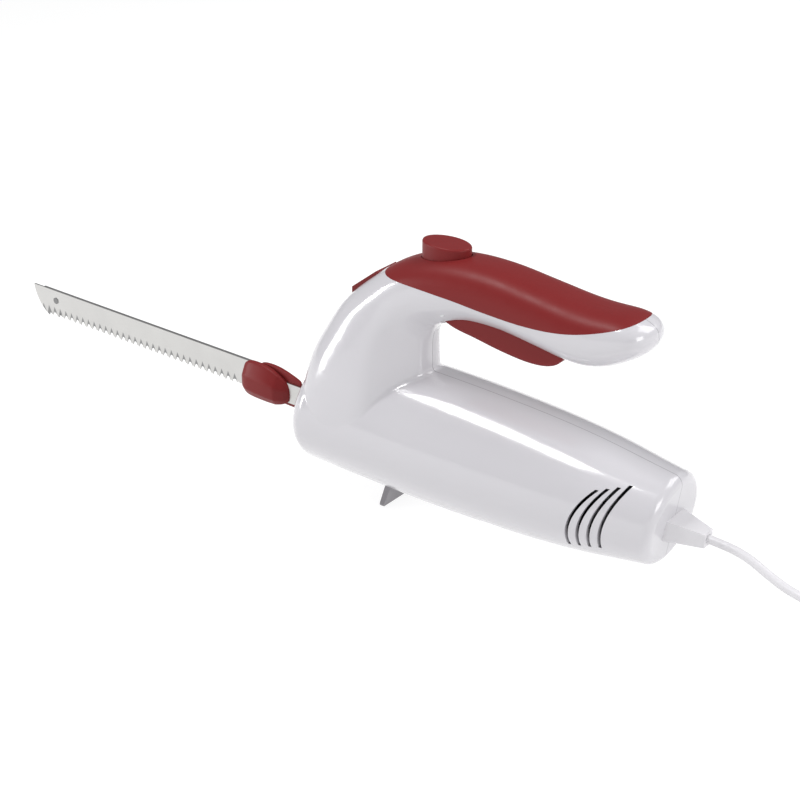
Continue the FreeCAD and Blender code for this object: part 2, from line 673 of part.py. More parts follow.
def tube(route, radius):
    """Round tube along straight runs joined by tangent arcs; prints its radii and length."""
    points = [V(*point) for point in route]
    edges = []
    start = points[0]
    radii = []
    for before, corner, after in zip(points, points[1:], points[2:]):
        first, second = corner - before, after - corner
        turn = first.getAngle(second)
        shorter = min(first.Length, second.Length)
        setback = 0.45 * shorter
        arc_radius = setback / math.tan(turn / 2)
        radii.append(arc_radius)
        enter = corner - first * (setback / first.Length)
        leave = corner + second * (setback / second.Length)
        towards = (second * (1 / second.Length) - first * (1 / first.Length)).normalize()
        centre = corner + towards * (arc_radius / math.cos(turn / 2))
        middle = centre - towards * arc_radius
        edges.append(Part.makeLine(start, enter))
        edges.append(Part.Arc(enter, middle, leave).toShape())
        start = leave
    edges.append(Part.makeLine(start, points[-1]))
    path = Part.Wire(edges)
    ring = Part.Wire(Part.makeCircle(radius, points[0], points[1] - points[0]))
    solid = path.makePipeShell([ring], True, True)
    print("tube radii", [round(value, 1) for value in radii], "length", round(path.Length, 1),
          "volume ratio", round(solid.Volume / (math.pi * radius**2 * path.Length), 4))
    return solid


EXIT_X, EXIT_Z = rest_point(303.0, CORD_HOLE_Z)
CORD_LOW = CORD_DIAMETER / 2 + 0.15       # height of a cord's middle line when it lies flat
INSIDE = 5.0                              # how deep the cord starts inside its guard

COIL_OUTER = COIL_INNER + COIL_STEP * COIL_TURNS / 2
COIL_BASE = 0.75                          # the coil lies on its tie
LAYER_1 = COIL_BASE + CORD_DIAMETER / 2   # height of the middle line in the lower layer
LAYER_2 = LAYER_1 + COIL_STEP

# From the guard down to the surface and along it to the coil, relative to the exit's X
LEAD_ROUTE = [(-INSIDE, 0.0, EXIT_Z + INSIDE * SINE), (9.0, 0.0, EXIT_Z - 1.2), (21.0, -0.8, 14.9),
              (33.0, -2.6, 8.8), (46.0, -4.3, 4.0), (59.0, -5.2, CORD_LOW), (70.0, -5.6, 2.6),
              (80.0, -5.5, LAYER_1)]
COIL_X = EXIT_X + LEAD_ROUTE[-1][0]
COIL_Y = LEAD_ROUTE[-1][1] + COIL_OUTER
PLUG_X = COIL_X + 52.0                    # the plug's cord end, in line with the knife
PLUG_Y = COIL_Y - COIL_OUTER
PLUG_LENGTH, PLUG_WIDTH, PLUG_HEIGHT = 34.0, 26.0, 13.6
PIN_LENGTH, PIN_RADIUS, PIN_SPACING = 19.0, 2.0, 18.6

# From the coil's upper layer into the plug
TAIL_ROUTE = [(COIL_X - 1.0, PLUG_Y, LAYER_2), (COIL_X + 12.0, PLUG_Y - 0.3, LAYER_2 - 0.6),
              (COIL_X + 24.0, PLUG_Y, 4.0), (COIL_X + 35.0, PLUG_Y + 0.4, 3.2),
              (COIL_X + 45.0, PLUG_Y + 0.2, 5.4), (PLUG_X + 5.0, PLUG_Y, PLUG_HEIGHT / 2)]


def power_cord():
    return tube([(EXIT_X + x, y, z) for x, y, z in LEAD_ROUTE], CORD_DIAMETER / 2)


def cord_tail():
    return tube(TAIL_ROUTE, CORD_DIAMETER / 2)


def cord_coil():
    """Outer shape of the turns that are put away."""
    half = CORD_DIAMETER / 2
    height = LAYER_2 - LAYER_1 + CORD_DIAMETER
    ring = Part.makeCylinder(COIL_OUTER + half, height, V(COIL_X, COIL_Y, COIL_BASE))
    ring = ring.cut(Part.makeCylinder(COIL_INNER - half, height + 2, V(COIL_X, COIL_Y, COIL_BASE - 1)))
    rims = [edge for edge in ring.Edges if edge.BoundBox.ZLength < 0.1]
    return ring.makeFillet(2.0, rims)


def cord_tie():
    """Tie round the coil's bundle, on the side away from the lead and the tail."""
    half = CORD_DIAMETER / 2 + 0.1
    low_y, high_y = COIL_Y + COIL_INNER - half - 0.4, COIL_Y + COIL_OUTER + half
    low_z, high_z = COIL_BASE - 0.1, LAYER_2 + half
    inside = Part.makeBox(7, high_y - low_y, high_z - low_z, V(COIL_X - 3.5, low_y, low_z))
    outside = Part.makeBox(5, high_y - low_y + 1.2, high_z - low_z + 1.2)
    outside.translate(V(COIL_X - 2.5, low_y - 0.6, low_z - 0.6))
    return outside.cut(inside)


def plug_body():
    """Flat two-pin plug, lying on its broad side."""
    block = Part.makeBox(PLUG_LENGTH, PLUG_WIDTH, PLUG_HEIGHT, V(PLUG_X, PLUG_Y - PLUG_WIDTH / 2, 0))
    upright = [edge for edge in block.Edges if edge.BoundBox.ZLength > 1 and edge.CenterOfMass.x < PLUG_X + 1]
    return block.makeFillet(8.0, upright).cut(cord_tail())


def plug_pins():
    pins = []
    for side in (-1, 1):
        foot_point = V(PLUG_X + PLUG_LENGTH, PLUG_Y + side * PIN_SPACING / 2, PLUG_HEIGHT / 2)
        pins.append(Part.makeCylinder(PIN_RADIUS, PIN_LENGTH, foot_point, V(1, 0, 0)))
    return Part.makeCompound(pins)


def cord_guard():
    bore = rod_x(303.0 - INSIDE - 1, 310, CORD_DIAMETER / 2 + 0.05, 0, CORD_HOLE_Z)
    return guard().cut(bore)


# ---------------------------------------------------------------- all pieces

def release_direction():
    slope = math.radians(RELEASE_SLOPE)
    return V(math.sin(slope), 0, -math.cos(slope))


def knife_pieces():
    """Every piece of the knife itself, in knife axes."""
    left, right, cover = housing()
    release_low = along_release(104.5, 91.0, 7.0)
    pieces = {
        "left_housing_shell": left,
        "right_housing_shell": right,
        "handle_top_cover": cover,
        "support_foot": foot(),
        "housing_screws": housing_screws(),
        "cord_guard": cord_guard(),
        "lock_button": lock_button(),
        "lock_button_spring": spring(V(BUTTON_X, 0, 100.5), V(0, 0, 1), 3.8, 0.4, 11, 5),
        "trigger": trigger(),
        "trigger_pin": trigger_pin(),
        "trigger_spring": spring(V(182, 0, 90.8), V(0, 0, 1), 3.4, 0.4, 6.6, 3),
        "control_bracket": control_bracket(),
        "switch_body": switch_body(),
        "switch_plunger": switch_plunger(),
        "release_button": release_button(),
        "release_spring": spring(V(release_low[0] + 0.5, 4.8, release_low[1]), release_direction(),
                                 2.8, 0.4, 7, 3),
        "worm_wheel": worm_wheel(),
        "wheel_axle": rod_y(-11.6, 11.6, 2.5, WHEEL_X, WHEEL_Z),
        "gearbox_frame": gearbox_frame(),
        "worm": worm(),
        "motor_shaft": rod_x(97, 264, 3.0),
        "front_bearing": bearing(134.2, 140.8),
        "rear_bearing": bearing(257, 262),
        "rear_bearing_bracket": rear_bracket(),
        "field_stack": field_stack(),
        "field_coils": field_coils(),
        "armature_core": armature_core(),
        "commutator": commutator(),
        "carbon_brushes": brushes(),
        "brush_holders": brush_holders(),
        "cooling_fan": fan(),
        "interference_capacitor": capacitor(),
        "cord_clamp": cord_clamp(),
        "clamp_screws": clamp_screws(),
        "blade_rivet": blade_rivet(),
    }
    for name, side in (("left", -1), ("right", 1)):
        pieces[name + "_eccentric"] = eccentric(side)
        pieces[name + "_drive_slider"] = drive_slider(side)
        pieces[name + "_blade"] = blade(side)
        pieces[name + "_blade_collar"] = blade_collar(side)
    return pieces


def cord_pieces():
    """The cord and what is on it, in the part's own frame."""
    return {
        "power_cord": power_cord(),
        "cord_coil": cord_coil(),
        "cord_tie": cord_tie(),
        "cord_tail": cord_tail(),
        "plug_body": plug_body(),
        "plug_pins": plug_pins(),
    }


def build():
    os.makedirs(PARTS, exist_ok=True)
    for name, shape in knife_pieces().items():
        at_rest(shape).exportStep(os.path.join(PARTS, name + ".step"))
    for name, shape in cord_pieces().items():
        shape.exportStep(os.path.join(PARTS, name + ".step"))
    print("tilt", round(TILT, 3), "origin", round(ORIGIN_X, 2), round(FLOOR, 2))


build()
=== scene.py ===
"""Looks of a household electric knife: white motor body with a D handle, red grip, two serrated blades."""
import json
import math

import bmesh
import bpy
from mathutils import Matrix, Vector


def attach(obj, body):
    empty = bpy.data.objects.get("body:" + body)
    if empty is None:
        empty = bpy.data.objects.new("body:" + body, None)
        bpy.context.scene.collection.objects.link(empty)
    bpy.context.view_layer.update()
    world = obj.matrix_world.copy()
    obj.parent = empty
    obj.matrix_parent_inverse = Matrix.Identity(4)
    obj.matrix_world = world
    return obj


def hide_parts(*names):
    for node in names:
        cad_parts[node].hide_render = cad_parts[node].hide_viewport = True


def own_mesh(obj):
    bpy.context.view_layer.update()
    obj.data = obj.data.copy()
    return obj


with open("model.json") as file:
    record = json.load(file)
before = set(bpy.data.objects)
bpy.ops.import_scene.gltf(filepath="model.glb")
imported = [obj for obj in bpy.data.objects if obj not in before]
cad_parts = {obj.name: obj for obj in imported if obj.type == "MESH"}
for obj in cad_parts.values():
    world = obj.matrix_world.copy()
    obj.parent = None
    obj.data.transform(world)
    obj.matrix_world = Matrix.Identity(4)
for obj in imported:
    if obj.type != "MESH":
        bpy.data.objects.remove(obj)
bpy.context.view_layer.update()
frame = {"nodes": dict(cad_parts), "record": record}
nodes = frame["nodes"]
scene = bpy.context.scene

# The knife's own axes at rest: X rearwards along the blades, Z up, in mm, from the last blade tooth
MM_PER_M = 1000
TILT = math.radians(6.651096)                   # the foot holds the nose up
SHIFT = Vector((-0.0706346, 0.0, 0.0439218))    # the last tooth in the row frame, in metres
KNIFE = Matrix.Translation(SHIFT) @ Matrix.Rotation(TILT, 4, "Y")
STROKE = 8.0                                    # the right blade stands this far behind the left one


def at(x, y, z):
    """A point of the knife's own axes, in mm, placed in the row frame in metres."""
    return KNIFE @ (Vector((x, y, z)) / MM_PER_M)


# ---------------------------------------------------------------- camera

CAMERA_PLACE = (0.6087, -0.6252, 0.4299)        # metres along the knife's own axes
CAMERA_AZIMUTH, CAMERA_ELEVATION = math.radians(38.0), math.radians(27.0)

camera = bpy.data.objects.new("camera", bpy.data.cameras.new("camera"))
scene.collection.objects.link(camera)
camera.data.sensor_width = 36.0
camera.data.lens = 76.8
camera.data.clip_start, camera.data.clip_end = 0.05, 60.0
camera.matrix_world = (KNIFE @ Matrix.Translation(CAMERA_PLACE)
                       @ Matrix.Rotation(CAMERA_AZIMUTH, 4, "Z")
                       @ Matrix.Rotation(math.pi / 2 - CAMERA_ELEVATION, 4, "X"))
scene.camera = camera


# ---------------------------------------------------------------- mains cord

# All in metres. LEAD's X is counted from the exit, TAIL's X from the coil's centre and its Y from the plug.
EXIT = Vector((0.2315075, 0.0, 0.0189588))
CORD_DIAMETER = 0.0044
LEAD = [(-0.005, 0.0, 0.019538), (0.009, 0.0, 0.017759), (0.021, -0.0008, 0.0149), (0.033, -0.0026, 0.0088),
        (0.046, -0.0043, 0.0040), (0.059, -0.0052, 0.00235), (0.070, -0.0056, 0.0026)]
TAIL = [(0.012, -0.0003, 0.0068), (0.024, 0.0, 0.0040), (0.035, 0.0004, 0.0032), (0.045, 0.0002, 0.0054),
        (0.057, 0.0, 0.0068)]

# Half of the turns lie in the lower layer and half on them, each turn a step from the next
COIL_INNER, COIL_STEP, COIL_TURNS = 0.0173, 0.00445, 8
COIL_OUTER = COIL_INNER + COIL_STEP * COIL_TURNS / 2
COIL_EDGE_Y = -0.0055                           # where the lead and the tail meet the outer turn
COIL_CENTRE = (EXIT.x + 0.080, COIL_EDGE_Y + COIL_OUTER)
COIL_LOW = 0.00295                              # height of the lower layer's middle
CLIMB_START, CLIMB_SHARE = 0.485, 0.03          # shares of all turns
POINTS_PER_TURN = 16

PLUG_X, PLUG_Y, PLUG_Z = COIL_CENTRE[0] + 0.052, COIL_EDGE_Y, 0.0068


def coil_points():
    """Turns wound in towards the middle on the lower layer and out again on the upper one."""
    count = COIL_TURNS * POINTS_PER_TURN
    outward = 1 / math.cos(math.pi / POINTS_PER_TURN)     # the spline runs inside its control points
    points = []
    for k in range(count + 1):
        share = k / count
        radius = COIL_INNER + (COIL_OUTER - COIL_INNER) * abs(1 - 2 * share)
        climb = min(1.0, max(0.0, (share - CLIMB_START) / CLIMB_SHARE))
        angle = -math.pi / 2 + 2 * math.pi * COIL_TURNS * share
        height = COIL_LOW + COIL_STEP * climb * climb * (3 - 2 * climb)
        points.append((COIL_CENTRE[0] + radius * outward * math.cos(angle),
                       COIL_CENTRE[1] + radius * outward * math.sin(angle), height))
    return points


def nurbs(name, points, radius):
    """A round tube on one smooth open spline."""
    data = bpy.data.curves.new(name, "CURVE")
    data.dimensions = "3D"
    data.bevel_depth = radius
    data.bevel_resolution = 6
    data.resolution_u = 8
    data.use_fill_caps = True
    spline = data.splines.new("NURBS")
    spline.points.add(len(points) - 1)
    for control, place_of_point in zip(spline.points, points):
        control.co = (*place_of_point, 1.0)
    spline.order_u = 3
    spline.use_endpoint_u = True
    made = bpy.data.objects.new(name, data)
    scene.collection.objects.link(made)
    return made


route = [(EXIT.x + x, y, z) for x, y, z in LEAD] + coil_points()
route += [(COIL_CENTRE[0] + x, PLUG_Y + y, z) for x, y, z in TAIL]
cord = nurbs("mains_cord", route, CORD_DIAMETER / 2)


# ---------------------------------------------------------------- shader helpers

def new_material(name):
    """A node material, its node tree and its shader."""
    made = bpy.data.materials.new(name)
    made.use_nodes = True
    tree = made.node_tree
    return made, tree, tree.nodes["Principled BSDF"]


def add(tree, kind, **settings):
    """A shader node with its inputs and properties set by name."""
    node = tree.nodes.new(kind)
    for key, value in settings.items():
        if key in node.inputs:
            node.inputs[key].default_value = value
        else:
            setattr(node, key, value)
    return node


def place(tree, stretch=(1.0, 1.0, 1.0)):
    """Object coordinates, which are metres in the row frame, stretched along the axes."""
    coordinates = add(tree, "ShaderNodeTexCoord")
    mapping = add(tree, "ShaderNodeMapping")
    mapping.inputs["Scale"].default_value = stretch
    tree.links.new(coordinates.outputs["Object"], mapping.inputs["Vector"])
    return mapping.outputs["Vector"]


def noise(tree, vector, scale, detail=2.0, roughness=0.5):
    """Values of 0 to 1; scale is in features per metre."""
    node = add(tree, "ShaderNodeTexNoise", Scale=scale, Detail=detail, Roughness=roughness)
    tree.links.new(vector, node.inputs["Vector"])
    return node.outputs["Fac"]


def calculated(tree, operation, first, second=0.0):
    """A Math node; each value is a socket or a number."""
    node = add(tree, "ShaderNodeMath", operation=operation)
    for entry, value in zip(node.inputs, (first, second)):
        if isinstance(value, (int, float)):
            entry.default_value = value
        else:
            tree.links.new(value, entry)
    return node.outputs["Value"]


def spread(tree, value, low, high):
    """A value of 0 to 1 brought to the range low to high."""
    node = add(tree, "ShaderNodeMapRange")
    node.inputs["To Min"].default_value = low
    node.inputs["To Max"].default_value = high
    tree.links.new(value, node.inputs["Value"])
    return node.outputs["Result"]


def ramp(tree, value, start, end):
    """0 up to start, 1 from end on, and even in between."""
    node = add(tree, "ShaderNodeMapRange")
    node.inputs["From Min"].default_value = start
    node.inputs["From Max"].default_value = end
    tree.links.new(value, node.inputs["Value"])
    return node.outputs["Result"]


def mix(tree, factor, first, second):
    """The first colour at 0 and the second at 1."""
    node = add(tree, "ShaderNodeMix", data_type="RGBA")
    tree.links.new(factor, node.inputs["Factor"])
    node.inputs["A"].default_value = (*first, 1)
    node.inputs["B"].default_value = (*second, 1)
    return node.outputs["Result"]


def mark(tree, shader, colour, factor):
    """The given colour over the shader's own one: full at 0, none at 1."""
    node = add(tree, "ShaderNodeMix", data_type="RGBA")
    tree.links.new(factor, node.inputs["Factor"])
    node.inputs["A"].default_value = (*colour, 1)
    tree.links.new(shader.inputs["Base Color"].links[0].from_socket, node.inputs["B"])
    tree.links.new(node.outputs["Result"], shader.inputs["Base Color"])


def bump(tree, shader, heights):
    """Bumps laid on each other: pairs of a height and its depth in metres."""
    last = None
    for height, depth in heights:
        node = add(tree, "ShaderNodeBump", Strength=1.0, Distance=depth)
        tree.links.new(height, node.inputs["Height"])
        if last is not None:
            tree.links.new(last, node.inputs["Normal"])
        last = node.outputs["Normal"]
    tree.links.new(last, shader.inputs["Normal"])


# ---------------------------------------------------------------- kinds of material

CLOUD_SCALE, GLOSS_SCALE = 22.0, 140.0          # features per metre
WAVE_SCALE, WAVE_DEPTH = 35.0, 0.00006
PLASTIC_IOR = 1.5


def plastic(name, colour, other, rough, grain=900.0, depth=0.00001, coat=0.0, subsurface=0.0, specular=0.5):
    """Moulded plastic: faint clouding, uneven gloss, fine grain and the slow waves of a moulding."""
    made, tree, shader = new_material(name)
    here = place(tree)
    clouds = noise(tree, here, CLOUD_SCALE, 3.0)
    gloss = noise(tree, here, GLOSS_SCALE, 4.0)
    waves = noise(tree, here, WAVE_SCALE, 1.0)
    tree.links.new(mix(tree, clouds, colour, other), shader.inputs["Base Color"])
    tree.links.new(spread(tree, gloss, rough * 0.8, rough * 1.25), shader.inputs["Roughness"])
    shader.inputs["Coat Weight"].default_value = coat
    shader.inputs["Coat Roughness"].default_value = 0.06
    shader.inputs["IOR"].default_value = PLASTIC_IOR
    shader.inputs["Specular IOR Level"].default_value = specular
    if subsurface:
        shader.inputs["Subsurface Weight"].default_value = subsurface
        shader.inputs["Subsurface Radius"].default_value = (0.004, 0.004, 0.004)
        shader.inputs["Subsurface Scale"].default_value = 1.0
    bump(tree, shader, [(waves, WAVE_DEPTH), (noise(tree, here, grain, 3.0), depth)])
    return made


def metal(name, colour, other, rough, stretch=(1, 1, 1), scale=700.0, depth=0.00001, anisotropic=0.0):
    """Metal with fine lines where stretch is uneven."""
    made, tree, shader = new_material(name)
    lines = noise(tree, place(tree, stretch), scale, 4.0, 0.6)
    patches = noise(tree, place(tree), 60.0, 3.0)
    tree.links.new(mix(tree, patches, colour, other), shader.inputs["Base Color"])
    tree.links.new(spread(tree, lines, rough * 0.75, rough * 1.3), shader.inputs["Roughness"])
    shader.inputs["Metallic"].default_value = 1.0
    shader.inputs["Anisotropic"].default_value = anisotropic
    bump(tree, shader, [(lines, depth)])
    return made


def banded(name, colour, other, rough, metallic, direction, scale, depth):
    """Fine parallel lines, as on windings and stacked sheets."""
    made, tree, shader = new_material(name)
    wave = add(tree, "ShaderNodeTexWave", bands_direction=direction, Scale=scale, Distortion=0.6, Detail=2.0)
    tree.links.new(place(tree), wave.inputs["Vector"])
    tree.links.new(mix(tree, wave.outputs["Fac"], colour, other), shader.inputs["Base Color"])
    shader.inputs["Roughness"].default_value = rough
    shader.inputs["Metallic"].default_value = metallic
    bump(tree, shader, [(wave.outputs["Fac"], depth)])
    return made


# ---------------------------------------------------------------- marks on the materials

LINE_EDGE, LINE_END = 0.00010, 0.00022          # metres to each side of the middle plane
LINE_COLOUR = (0.27, 0.265, 0.28)

TOOTH_PITCH, GRIND_HEIGHT = 0.005, 0.0064
HALF_PITCH = 0.5                                # a gap's middle is half a pitch from the teeth beside it
GRIND_FADE = (-0.0006, 0.0001)                  # metres below and above the scallop's edge
# painted shade: the colour the scallops are darkened to, for the light the ground hollows lose
SCALLOP_SHADE_COLOUR = (0.25, 0.25, 0.25)
LAST_GAP = 0.004                                # the tang behind it is plain


def parting_line(made):
    """A dark hairline where the two housing shells meet, on the middle plane."""
    tree = made.node_tree
    parts = add(tree, "ShaderNodeSeparateXYZ")
    tree.links.new(place(tree), parts.inputs["Vector"])
    away = calculated(tree, "ABSOLUTE", parts.outputs["Y"])
    mark(tree, tree.nodes["Principled BSDF"], LINE_COLOUR, ramp(tree, away, LINE_EDGE, LINE_END))


def ground_teeth(name, shift):
    """Blade steel with a scallop above each gap between the teeth painted darker: painted shade for the
    ground hollow.
    """
    made = metal(name, (0.53, 0.525, 0.515), (0.61, 0.605, 0.59), rough=0.30, stretch=(0.04, 1, 1),
                 scale=900.0, depth=0.000004, anisotropic=0.3)
    tree = made.node_tree
    back = Matrix.Rotation(-TILT, 4, "Y")
    knife_axes = add(tree, "ShaderNodeMapping")
    knife_axes.inputs["Rotation"].default_value = (0, -TILT, 0)
    knife_axes.inputs["Location"].default_value = back @ -SHIFT - Vector((shift, 0, 0))
    tree.links.new(place(tree), knife_axes.inputs["Vector"])
    parts = add(tree, "ShaderNodeSeparateXYZ")
    tree.links.new(knife_axes.outputs["Vector"], parts.inputs["Vector"])
    phase = calculated(tree, "FRACT", calculated(tree, "DIVIDE", parts.outputs["X"], TOOTH_PITCH))
    from_gap = calculated(tree, "ABSOLUTE", calculated(tree, "SUBTRACT", phase, HALF_PITCH))
    drop = calculated(tree, "MULTIPLY", from_gap, GRIND_HEIGHT / HALF_PITCH)
    over = calculated(tree, "SUBTRACT", calculated(tree, "ADD", parts.outputs["Z"], drop), GRIND_HEIGHT)
    behind = calculated(tree, "GREATER_THAN", parts.outputs["X"], LAST_GAP)
    plain = calculated(tree, "MAXIMUM", ramp(tree, over, *GRIND_FADE), behind)
    # paint the shade of the ground scallops over the steel
    mark(tree, tree.nodes["Principled BSDF"], SCALLOP_SHADE_COLOUR, plain)
    return made


# ---------------------------------------------------------------- finishes of the record's slots

finishes = {
    "white_gloss": plastic("white_gloss", (0.53, 0.52, 0.545), (0.55, 0.54, 0.565), rough=0.15, coat=0.4,
                           subsurface=0.05),
    # painted shade: the foot is white plastic like the shells, but its colour is darkened for the shade it
    # sits in under the barrel
    "white_foot": plastic("white_foot", (0.17, 0.16, 0.175), (0.20, 0.19, 0.205), rough=0.40),
    "red_satin": plastic("red_satin", (0.165, 0.015, 0.0155), (0.185, 0.018, 0.0185), rough=0.40,
                         grain=1500.0, depth=0.00002, specular=0.16),
    "zinc_steel": metal("zinc_steel", (0.55, 0.56, 0.58), (0.64, 0.65, 0.66), rough=0.28),
    "dark_plastic": plastic("dark_plastic", (0.012, 0.012, 0.014), (0.02, 0.02, 0.022), rough=0.45),
    "natural_plastic": plastic("natural_plastic", (0.70, 0.67, 0.57), (0.76, 0.73, 0.63), rough=0.40,
                               subsurface=0.1),
    "laminations": banded("laminations", (0.03, 0.03, 0.035), (0.10, 0.10, 0.11), rough=0.5, metallic=0.6,
                          direction="X", scale=300.0, depth=0.00005),
    "copper": banded("copper", (0.45, 0.16, 0.06), (0.62, 0.26, 0.11), rough=0.35, metallic=1.0,
                     direction="Z", scale=350.0, depth=0.00008),
    "carbon": plastic("carbon", (0.006, 0.006, 0.006), (0.012, 0.012, 0.012), rough=0.6),
    "brass": metal("brass", (0.62, 0.46, 0.17), (0.70, 0.54, 0.23), rough=0.25, stretch=(1, 0.1, 1),
                   scale=500.0),
    "cord_sheath": plastic("cord_sheath", (0.62, 0.61, 0.63), (0.65, 0.64, 0.66), rough=0.38, grain=1200.0,
                           depth=0.00002, subsurface=0.05),
    # light grey, whatever the slot is called
    "tie_black": plastic("tie_black", (0.62, 0.62, 0.63), (0.68, 0.68, 0.69), rough=0.5),
}
parting_line(finishes["white_gloss"])

own_finishes = {
    "left_blade": ground_teeth("blade_steel", 0.0),
    "right_blade": ground_teeth("blade_steel_right", STROKE / MM_PER_M),
    "blade_rivet": metal("rivet_steel", (0.16, 0.16, 0.16), (0.24, 0.24, 0.24), rough=0.35),
}

for row in frame["record"]["subparts"]:
    mesh = nodes[row["node"]].data
    mesh.materials.clear()
    mesh.materials.append(own_finishes.get(row["node"]) or finishes[row["material_slot"]])


def dress(piece, slot, body, *replaced):
    """The finish, the body it rides on and the CAD pieces it stands for."""
    piece.data.materials.append(finishes[slot])
    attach(piece, body)
    if replaced:
        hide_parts(*replaced)
    return piece


# ---------------------------------------------------------------- mesh helpers

def solid(name, mesh, smooth=True):
    """An object from a bmesh, with smooth faces."""
    data = bpy.data.meshes.new(name)
    bmesh.ops.recalc_face_normals(mesh, faces=mesh.faces)
    mesh.to_mesh(data)
    mesh.free()
    if smooth:
        data.polygons.foreach_set("use_smooth", [True] * len(data.polygons))
    made = bpy.data.objects.new(name, data)
    scene.collection.objects.link(made)
    return made


def quads(mesh, rows):
    """Faces between each closed row of vertices and the next."""
    for near, far in zip(rows, rows[1:]):
        for k in range(len(near)):
            after = (k + 1) % len(near)
            mesh.faces.new((near[k], near[after], far[after], far[k]))


def lofted(name, rings):
    """A closed solid through rings of the same number of points."""
    mesh = bmesh.new()
    rows = [[mesh.verts.new(point) for point in ring] for ring in rings]
    quads(mesh, rows)
    mesh.faces.new(rows[0])
    mesh.faces.new(rows[-1])
    return solid(name, mesh)


def smoothed(piece, levels):
    """The piece with its mesh subdivided."""
    modifier = piece.modifiers.new("smooth", "SUBSURF")
    modifier.levels = modifier.render_levels = levels
    return piece


def rounded_ring(half_wide, half_high, power, count=24):
    """Points round an ellipse at a power of 2, squarer at a higher one."""
    ring = []
    for k in range(count):
        turn = 2 * math.pi * (k + 0.5) / count
        c, s = math.cos(turn), math.sin(turn)
        ring.append((half_wide * math.copysign(abs(c) ** (2 / power), c),
                     half_high * math.copysign(abs(s) ** (2 / power), s)))
    return ring


# ---------------------------------------------------------------- pieces on the cord

# Rings along the plug: distance from the cord, half width, half height and power, as rounded_ring takes them
PLUG_RINGS = [(0.0, 0.0034, 0.0034, 2.0), (0.0015, 0.0040, 0.0040, 2.0), (0.0040, 0.0042, 0.0040, 2.2),
              (0.0060, 0.0062, 0.0048, 2.6), (0.0100, 0.0098, 0.0060, 3.2), (0.0160, 0.0114, 0.0064, 4.0),
              (0.0220, 0.0112, 0.0060, 4.0), (0.0290, 0.0124, 0.0064, 4.4), (0.0330, 0.0128, 0.0066, 4.8),
              (0.0340, 0.0122, 0.0060, 4.4)]

TIE_CLEAR = 0.0023                              # from the middle of the cord to the inside of the band
TIE_LOW = 0.00065                               # the band's inside above the floor
TIE_HALF_WIDE, TIE_THICK = 0.0024, 0.0005
TIE_POWER, TIE_POINTS = 6.0, 40


def plug():
    """Flat two-pin plug: a waisted body with a narrow neck."""
    rings = []
    for along, wide, high, power in PLUG_RINGS:
        rings.append([(PLUG_X + along, PLUG_Y + y, PLUG_Z + z) for y, z in rounded_ring(wide, high, power)])
    return smoothed(lofted("plug_moulding", rings), 1)


def tie():
    """Flat band round the coil's bundle."""
    low_y, high_y = COIL_CENTRE[1] + COIL_INNER - TIE_CLEAR, COIL_CENTRE[1] + COIL_OUTER + TIE_CLEAR
    low_z, high_z = TIE_LOW, COIL_LOW + COIL_STEP + TIE_CLEAR
    middle = ((low_y + high_y) / 2, (low_z + high_z) / 2)
    half_wide, half_high = (high_y - low_y) / 2, (high_z - low_z) / 2
    mesh = bmesh.new()
    loops = []
    for x, grow in ((-TIE_HALF_WIDE, 0.0), (-TIE_HALF_WIDE, TIE_THICK), (TIE_HALF_WIDE, TIE_THICK),
                    (TIE_HALF_WIDE, 0.0)):
        ring = rounded_ring(half_wide + grow, half_high + grow, TIE_POWER, TIE_POINTS)
        loops.append([mesh.verts.new((COIL_CENTRE[0] + x, middle[0] + y, middle[1] + z)) for y, z in ring])
    quads(mesh, loops + loops[:1])
    return solid("coil_tie_band", mesh)


dress(cord, "cord_sheath", "housing", "power_cord", "cord_coil", "cord_tail")
dress(plug(), "cord_sheath", "housing", "plug_body")
dress(tie(), "tie_black", "housing", "cord_tie")


# ---------------------------------------------------------------- blade collars

LEFT, RIGHT = -1, 1

# Rings along a collar, in mm: X, top, bottom, and how far it stands out from the middle plane
FRONT_ROWS = [(10.0, 10.6, 3.6, 2.0), (10.6, 13.6, 1.2, 4.0), (12.6, 17.0, -1.0, 5.6),
              (16.0, 18.6, -2.0, 6.5), (25.0, 18.6, -2.2, 6.9)]
REAR_ROWS = {
    LEFT: [(31.0, 17.6, -2.2, 6.9), (36.0, 15.6, -2.0, 6.6), (40.4, 13.0, -1.2, 4.6),
           (43.2, 10.8, 0.6, 2.6), (44.0, 8.8, 2.6, 1.2)],
    RIGHT: [(32.0, 17.4, -2.6, 6.0), (38.0, 15.8, -2.6, 5.4), (41.6, 14.8, -2.5, 4.6),
            (43.0, 14.3, -2.4, 3.4), (43.4, 13.6, -2.2, 1.8)],
}
COLLAR_INSIDE = 0.12                            # its flat inner face, in mm from the middle plane

# Corners are counted from the inner top one, round the outer face, to the inner bottom one
CORNERS, OUTER_CORNERS = 7, (2, 3, 4, 5)
CREASED_RING = 6                                # behind it the collar narrows towards its rear end
OUTER_CREASE, INNER_CREASE, RING_CREASE = 0.65, 0.9, 0.6


def crease_of(edge):
    """How sharp an edge of a collar stays when the mesh is smoothed."""
    (ring, corner), (other_ring, other_corner) = (divmod(v, CORNERS) for v in edge.vertices)
    if corner == other_corner:
        return OUTER_CREASE if corner in OUTER_CORNERS else INNER_CREASE
    if ring == other_ring == CREASED_RING and min(corner, other_corner) > 0:
        return RING_CREASE
    return 0.0


def collar(name, side):
    """Finger guard on the outer face of one blade: a faceted pod with softened edges."""
    shift = 0.0 if side == LEFT else STROKE
    rings = []
    for x, top, low, wide in FRONT_ROWS + REAR_ROWS[side]:
        tall = top - low
        outline = [(COLLAR_INSIDE, top), (0.40 * wide, top), (0.94 * wide, top - 0.35 * tall),
                   (wide, top - 0.43 * tall), (wide, low + 0.20 * tall), (0.66 * wide, low),
                   (COLLAR_INSIDE, low)]
        rings.append([at(x + shift, side * y, z) for y, z in outline])
    made = lofted(name, rings)
    crease = made.data.attributes.new("crease_edge", "FLOAT", "EDGE")
    crease.data.foreach_set("value", [crease_of(edge) for edge in made.data.edges])
    return smoothed(made, 3)


